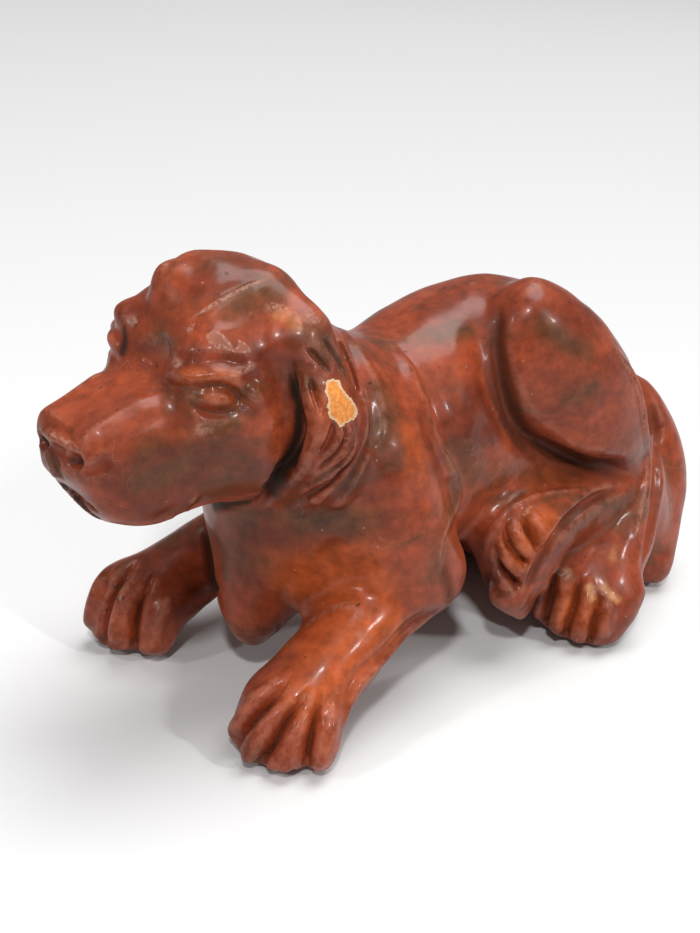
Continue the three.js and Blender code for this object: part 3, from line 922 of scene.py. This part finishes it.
WARM_AND_LIT = [
    ([(250, 590), (300, 575), (360, 570), (410, 560)], 13.0, 0.9),
    ([(420, 600), (370, 640), (320, 690), (280, 730)], 10.0, 1.0),
    ([(560, 505), (530, 540), (510, 575)], 8.0, 1.0),
    ([(172, 376), (214, 376), (250, 392)], 2.4, 1.0),
    ([(192, 396), (214, 397), (240, 403)], 1.7, 1.0),
    ([(268, 314), (290, 318), (298, 332)], 3.0, 0.9),
    ([(318, 380), (322, 410), (316, 440)], 4.0, 0.8),
    ([(100, 600), (130, 630), (165, 625)], 7.0, 0.5),
    # Painted light: the upper hind foot's toes painted a brighter orange-red where the light falls on them.
    ([(550, 600), (580, 610), (600, 590)], 8.0, 0.9),
    ([(402, 410), (416, 455), (422, 500)], 6.5, 0.75),
]


def paint_wear(stone):
    """The flake on the ear, the scraped brow, places worn pale, and painted highlights on ridges."""
    stone.outline("chip", EAR_CHIP)
    stone.outline("scrape", BROW_SCRAPE)
    for marks, width, strength in WORN_AND_HIGHLIGHTS:
        stone.paint("worn_and_highlit", stone.laid(marks), width, strength)


EAR_CHIP = [
    (327, 381), (333, 379), (339, 381), (342, 389), (348, 396), (354, 403), (358, 412), (355, 418),
    (347, 422), (341, 427), (336, 421), (330, 418), (328, 409), (329, 400), (326, 392),
]
BROW_SCRAPE = [
    (205, 336), (213, 330), (229, 336), (244, 342), (251, 348), (253, 353), (239, 353), (219, 350),
    (209, 343),
]
# Pale stripes: dust, wear and scuffs on the stone, and painted highlights on the ridges named below.
WORN_AND_HIGHLIGHTS = [
    # Painted highlights along the crown ridge, the nose pad's rim and the haunch's ridge.
    (CROWN_RIDGE, 0.6, 1.0),
    (PAD_RIM, 0.8, 0.7),
    (HAUNCH_RIDGE, 0.7, 0.6),
    ([(262, 308), (277, 306), (291, 312), (299, 324), (302, 339)], 0.6, 1.0),
    ([(300, 318), (312, 316), (318, 326)], 1.2, 0.9),
    ([(187, 326), (193, 329)], 0.9, 1.0),
    ([(131, 319), (137, 323)], 1.0, 0.9),
    ([(150, 338), (157, 341)], 0.9, 0.7),
    ([(173, 360), (178, 364), (176, 368)], 1.1, 1.0),
    ([(163, 263), (168, 266)], 0.8, 1.0),
    ([(195, 424), (203, 430), (206, 436)], 2.0, 0.6),
    # Painted highlight along the brow ridge.
    (BROW_RIDGE, 0.8, 0.7),
    ([(553, 569), (566, 576), (576, 584)], 1.4, 0.8),
    ([(586, 582), (600, 590), (618, 600)], 0.9, 0.4),
    ([(470, 284), (474, 282)], 0.7, 0.7),
    # Pale scuffs on the wrist and the knuckles, which also stand in for painted highlights.
    ([(300, 632), (318, 616), (344, 605), (362, 612)], 1.2, 0.45),
    ([(352, 632), (372, 642)], 1.0, 0.4),
    ([(262, 694), (281, 675)], 0.7, 0.45),
    ([(299, 714), (307, 690)], 0.7, 0.45),
    ([(329, 700), (334, 722)], 1.2, 0.5),
    (LIP_LINE, 0.5, 0.35),
    (SHOULDER_EDGE, 0.8, 0.35),
]
# Painted highlights along the ear's locks.
WORN_AND_HIGHLIGHTS += [(marks, 0.45, 0.5) for marks in EAR_LOCKS]


def read_relief(stone):
    """How far each point stands over the skin around it: fine for ridges, broad for hollows."""
    fine = stone.smoothed(stone.points, RIDGE_PASSES)
    broad = stone.smoothed(fine, HOLLOW_PASSES)
    stone.layers["ridge"] = ((stone.points - fine) * stone.normals).sum(1)
    stone.layers["hollow"] = ((broad - stone.points) * stone.normals).sum(1)


RIDGE_PASSES = 8
HOLLOW_PASSES = 50


class Field:
    """A value or colour that changes over a surface: a shader socket, which arithmetic joins to others."""

    def __init__(self, look, socket):
        self.look = look
        self.socket = socket

    def math(self, operation, *values):
        """Values joined by a math node."""
        return self.look.node("Math", "Value", dict(enumerate(values)), operation=operation)

    def __add__(self, other):
        return self.math("ADD", self, other)

    def __sub__(self, other):
        return self.math("SUBTRACT", self, other)

    def __rsub__(self, other):
        return self.math("SUBTRACT", other, self)

    def __mul__(self, other):
        return self.math("MULTIPLY", self, other)

    def __abs__(self):
        return self.math("ABSOLUTE", self)

    def larger(self, other):
        """The larger of two values at each place."""
        return self.math("MAXIMUM", self, other)

    def between(self, low, high):
        """A smooth rise from 0 to 1 as the value goes from low to high, or a fall where high is lower."""
        falls = low > high
        ends = {"From Min": min(low, high), "From Max": max(low, high)}
        ends.update({"To Min": float(falls), "To Max": float(not falls)})
        return self.look.node("MapRange", "Result", {"Value": self, **ends}, interpolation_type="SMOOTHSTEP")

    def spread(self, least, most):
        """A noise's middle range, 0.3 to 0.7, spread out from least to most."""
        ends = {"From Min": 0.3, "From Max": 0.7, "To Min": least, "To Max": most}
        return self.look.node("MapRange", "Result", {"Value": self, **ends})


class Look:
    """A material whose nodes are joined as they are added."""

    def __init__(self, name):
        self.material = bpy.data.materials.new(name)
        self.material.use_nodes = True
        self.tree = self.material.node_tree
        self.inputs = self.tree.nodes["Principled BSDF"].inputs

    def feed(self, socket, value):
        """Joins a socket to a field, or sets it to a plain value."""
        if isinstance(value, Field):
            self.tree.links.new(value.socket, socket)
        else:
            socket.default_value = value

    def node(self, kind, output, links=(), **settings):
        """Adds a shader node, sets it up, feeds the inputs that links names, and gives one of its outputs."""
        added = self.tree.nodes.new("ShaderNode" + kind)
        for name, value in settings.items():
            setattr(added, name, value)
        for name, value in dict(links).items():
            self.feed(added.inputs[name], value)
        return Field(self, added.outputs[output])

    def layer(self, name):
        """The strength of a layer that the mesh carries."""
        return self.node("Attribute", "Fac", attribute_name=name)

    def noise(self, place, scale, detail=3.0, roughness=0.5, distortion=0.0):
        """A noise from 0 to 1, finer with a larger scale."""
        links = {"Vector": place, "Scale": scale, "Detail": detail, "Roughness": roughness}
        return self.node("TexNoise", "Fac", {**links, "Distortion": distortion})

    def turned(self, place, rotation, scale):
        """Places turned and stretched, for a pattern that runs one way."""
        return self.node("Mapping", "Vector", {"Vector": place, "Rotation": rotation, "Scale": scale})

    def spots(self, place, scale, channel, lot, size):
        """Round spots, in the few cells of a pattern whose random channel is over a lot."""
        away = self.node("TexVoronoi", "Distance", {"Vector": place, "Scale": scale})
        cell = Field(self, away.socket.node.outputs["Color"])
        drawn = self.node("SeparateColor", channel, {"Color": cell})
        return away.between(*size) * drawn.between(lot, lot + 0.02)

    def mixed(self, share, first, second, blend="MIX"):
        """A colour mixed from two by a share. The node's colour sockets are known by their numbers only."""
        return self.node("Mix", 2, {0: share, 6: first, 7: second}, data_type="RGBA", blend_type=blend)


BRICK = (0.258, 0.046, 0.016, 1)
# Deep red is one of the stone's tones, and also the colour of painted shade.
DEEP_RED_AND_SHADE = (0.125, 0.021, 0.008, 1)
# Orange-red is one of the stone's tones, and also painted light on one hind foot.
ORANGE_RED_AND_LIT = (0.400, 0.075, 0.015, 1)
PALE_ORANGE = (0.52, 0.23, 0.10, 1)
BROWN_GREY = (0.088, 0.037, 0.014, 1)
# Near black for grime and dark flecks, and for painted shade in creases, hollows and gaps.
GRIME_AND_SHADE_BLACK = (0.009, 0.007, 0.004, 1)
# Pale for dust, wear, flecks and hairlines, and for painted highlights.
PALE_DUST_AND_HIGHLIGHT = (0.46, 0.27, 0.20, 1)
CHIP_ORANGE = (0.70, 0.26, 0.055, 1)
CHIP_BROWN = (0.55, 0.20, 0.05, 1)
CHIP_RIM = (0.60, 0.40, 0.25, 1)
WHITE = (1, 1, 1, 1)


class PolishedStone(Look):
    """Red stone: bands, flecks, hairlines, grime, worn ridges, an open flake, painted shade, light,
    highlights.
    """

    def __init__(self):
        super().__init__("polished_stone")
        self.place = self.node("TexCoord", "Object")
        drift = self.node("TexNoise", "Color", {"Vector": self.place, "Scale": 55.0, "Detail": 2.0})
        bending = {"Fac": 0.012, "Color1": self.place, "Color2": drift}
        self.bent = self.node("MixRGB", "Color", bending, blend_type="ADD")
        self.cloud = self.noise(self.bent, 70.0, detail=4.0)
        self.mottle = self.noise(self.place, 420.0, detail=6.0, roughness=0.65)
        self.grain = self.noise(self.place, 1500.0, roughness=0.6)
        colour = self.flecked(self.banded())
        self.feed(self.inputs["Base Color"], self.flaked(self.grimed_and_shaded(self.worn_and_highlit(colour))))
        self.shine()
        self.relief()

    def banded(self):
        """Red in two depths, orange-red, brown-grey streaks and bands, and painted shade and painted light.
        """
        lean = self.turned(self.bent, rotation=(0.5, -0.55, 0.35), scale=(0.35, 1.0, 1.5))
        # The deep layer is painted shade: it pushes the colour towards deep red.
        depth = self.noise(lean, 60.0, detail=5.0) + self.layer("deep") * 0.3
        colour = self.mixed(depth.between(0.40, 0.72), BRICK, DEEP_RED_AND_SHADE)
        # The warm layer is the stone's orange-red places, and painted light on the upper hind foot.
        warm_and_lit = self.layer("warm_and_lit")
        warmth_and_light = warm_and_lit * 0.75 + self.cloud.between(0.60, 0.95)
        colour = self.mixed(warmth_and_light.between(0.1, 1.0), colour, ORANGE_RED_AND_LIT)
        streaks = self.noise(lean, 95.0, detail=6.0, roughness=0.6, distortion=0.4).between(0.52, 0.70)
        streaks = streaks * warm_and_lit.between(0.9, 0.2)
        bands = self.layer("band") * self.noise(self.bent, 150.0, detail=5.0).between(0.22, 0.55)
        colour = self.mixed((streaks * 0.75).larger(bands), colour, BROWN_GREY)
        colour = self.mixed(self.layer("pale") * 0.85, colour, PALE_ORANGE)
        return self.mixed(1.0, colour, self.mottle.spread(0.62, 1.28), "MULTIPLY")

    def flecked(self, colour):
        """Pale and dark flecks, thin pale hairlines, and the scratches of polishing."""
        pale = self.spots(self.place, 620.0, "Red", lot=0.93, size=(0.18, 0.06))
        self.dots = self.spots(self.bent, 330.0, "Green", lot=0.86, size=(0.12, 0.05))
        veins = abs(self.noise(self.bent, 85.0, roughness=0.55) - 0.5).between(0.0022, 0.0006)
        self.hairlines = veins * self.cloud.between(0.48, 0.62)
        brushed = self.turned(self.bent, rotation=(0.2, 0.9, 0.6), scale=(30.0, 1.0, 8.0))
        brushing = self.noise(brushed, 90.0, detail=2.0).between(0.70, 0.76)
        self.scratches = brushing * self.cloud.between(0.42, 0.6)
        colour = self.mixed(pale * 0.35, colour, PALE_DUST_AND_HIGHLIGHT)
        colour = self.mixed(self.dots * 0.6, colour, GRIME_AND_SHADE_BLACK)
        colour = self.mixed(self.hairlines * 0.20, colour, PALE_DUST_AND_HIGHLIGHT)
        return self.mixed(self.scratches * 0.12, colour, PALE_DUST_AND_HIGHLIGHT)

    def worn_and_highlit(self, colour):
        """Wear and painted highlights on the ridges, and the scraped flats with pale rims."""
        ridge = self.layer("ridge").between(0.035, 0.13) * self.mottle.between(0.38, 0.6)
        # The worn layer is pale wear and scuffs, and painted highlights on ridges, locks, wrist and knuckles.
        rubbed_and_highlit = self.layer("worn_and_highlit") * self.grain.between(0.36, 0.58)
        self.wear_and_highlights = (ridge * 0.22).larger(rubbed_and_highlit)
        scraped = self.layer("scrape") + self.mottle * 5.0
        self.flat = scraped.between(1.8, 3.2)
        self.rim = self.flat * scraped.between(5.0, 3.4) * self.grain.between(0.4, 0.6)
        for mask, share in ((self.flat, 0.16), (self.rim, 0.5), (self.wear_and_highlights, 0.6)):
            colour = self.mixed(mask * share, colour, PALE_DUST_AND_HIGHLIGHT)
        return colour

    def grimed_and_shaded(self, colour):
        """Grime and painted shade in the grooves and in every hollow, darker the deeper it lies, in patches.
        """
        soaked_and_shaded = self.layer("grime_and_shade").larger(self.layer("hollow").between(0.15, 1.1) * 0.5)
        self.grime_and_shade = (soaked_and_shaded + (self.mottle - 0.5) * 0.7).between(0.12, 0.85)
        return self.mixed(self.grime_and_shade * 0.93, colour, GRIME_AND_SHADE_BLACK)

    def flaked(self, colour):
        """The open flake: orange, unpolished, with a pale rough rim."""
        torn = self.layer("chip") + self.noise(self.place, 900.0, detail=5.0, roughness=0.7) * 6.0
        self.chip = torn.between(1.9, 2.6)
        flake = self.mixed(self.grain.between(0.40, 0.62), CHIP_ORANGE, CHIP_BROWN)
        flake = self.mixed(torn.between(3.6, 5.2), CHIP_RIM, flake)
        return self.mixed(self.chip, colour, flake)

    def shine(self):
        """Polished, but dull in grime and painted shade, on wear and painted highlights, and in the flake."""
        matt = (self.grime_and_shade * 0.30).larger(self.wear_and_highlights * 0.28).larger(self.flat * 0.12).larger(self.chip * 0.45)
        self.feed(self.inputs["Roughness"], self.cloud.spread(0.30, 0.44) + matt)
        self.feed(self.inputs["Coat Weight"], (0.15 - matt).larger(0.0))
        self.feed(self.inputs["Coat Roughness"], 0.14)
        self.feed(self.inputs["IOR"], 1.28)

    def relief(self):
        """The finest relief, in metres."""
        waves = self.noise(self.place, 260.0, detail=2.0) * 0.00010
        pits = self.dots * -0.00006
        cuts = self.scratches.larger(self.hairlines) * -0.00001
        rough = self.chip.larger(self.rim * 0.3) * self.grain * 0.00035
        fuzz = self.grime_and_shade.larger(self.wear_and_highlights) * self.grain * 0.00006
        height = (waves + pits) + (cuts + (rough + fuzz))
        bump = self.node("Bump", "Normal", {"Height": height, "Distance": 1.0, "Strength": 1.0})
        self.feed(self.inputs["Normal"], bump)


def make_stage():
    """A pale floor and soft studio light, with a few small lamps that the polish catches."""
    bpy.ops.object.select_all(action="DESELECT")
    bpy.ops.mesh.primitive_plane_add(size=FLOOR_SIZE, location=(0, 0, -FLOOR_DROP))
    floor = bpy.context.object
    floor.name = "studio_floor"
    paint = Look("studio_white")
    paint.feed(paint.inputs["Base Color"], FLOOR_GREY)
    paint.feed(paint.inputs["Roughness"], 0.8)
    paint.feed(paint.inputs["Specular IOR Level"], 0.1)
    floor.data.materials.append(paint.material)
    world = bpy.data.worlds.new("studio_world")
    world.use_nodes = True
    sky = world.node_tree.nodes["Background"].inputs
    sky["Color"].default_value = WHITE
    sky["Strength"].default_value = WORLD_STRENGTH
    bpy.context.scene.world = world
    for name, place, size, power in LAMPS:
        data = bpy.data.lights.new(name, "AREA")
        data.shape = "ELLIPSE"
        data.size, data.size_y = size
        data.energy = power
        light = bpy.data.objects.new(name, data)
        light.location = place
        light.rotation_euler = (LAMP_AIM - Vector(place)).to_track_quat("-Z", "Y").to_euler()
        bpy.context.scene.collection.objects.link(light)


FLOOR_SIZE = 8
FLOOR_DROP = 0.0002
FLOOR_GREY = (0.66, 0.66, 0.66, 1)
WORLD_STRENGTH = 0.26
LAMP_AIM = Vector((0, 0, 0.03))

# Each lamp is its name, its place, its size across and its power in watts.
LAMPS = [
    ("overhead_softbox", (0.7, 0.0, 2.5), (2.0, 2.0), 68.0),
    ("front_lamp", (-0.35, -0.30, 0.55), (0.06, 0.06), 1.9),
    ("side_lamp", (0.15, -0.60, 0.45), (0.05, 0.08), 1.6),
    ("left_lamp", (-0.55, 0.10, 0.40), (0.05, 0.08), 0.7),
]


make_camera()
stone = rough_out()
work = Stone(stone)
for step in (
    model_head,
    model_nose,
    model_eyes,
    model_ears,
    model_shoulder,
    model_haunch,
    model_left_paw,
    model_right_paw,
    model_hind_feet,
    keep_within,
    paint_grime_and_shade,
    paint_bands,
    paint_wear,
    read_relief,
):
    step(work)
work.finish()
share = MOST_TRIANGLES / (2 * len(stone.data.polygons))
apply_modifier(stone, "DECIMATE", ratio=min(share, 1.0), use_collapse_triangulate=True)
stone.data.materials.append(PolishedStone().material)
bpy.context.scene.view_settings.view_transform = "Standard"
make_stage()
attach(stone, "root")
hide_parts(NODE)
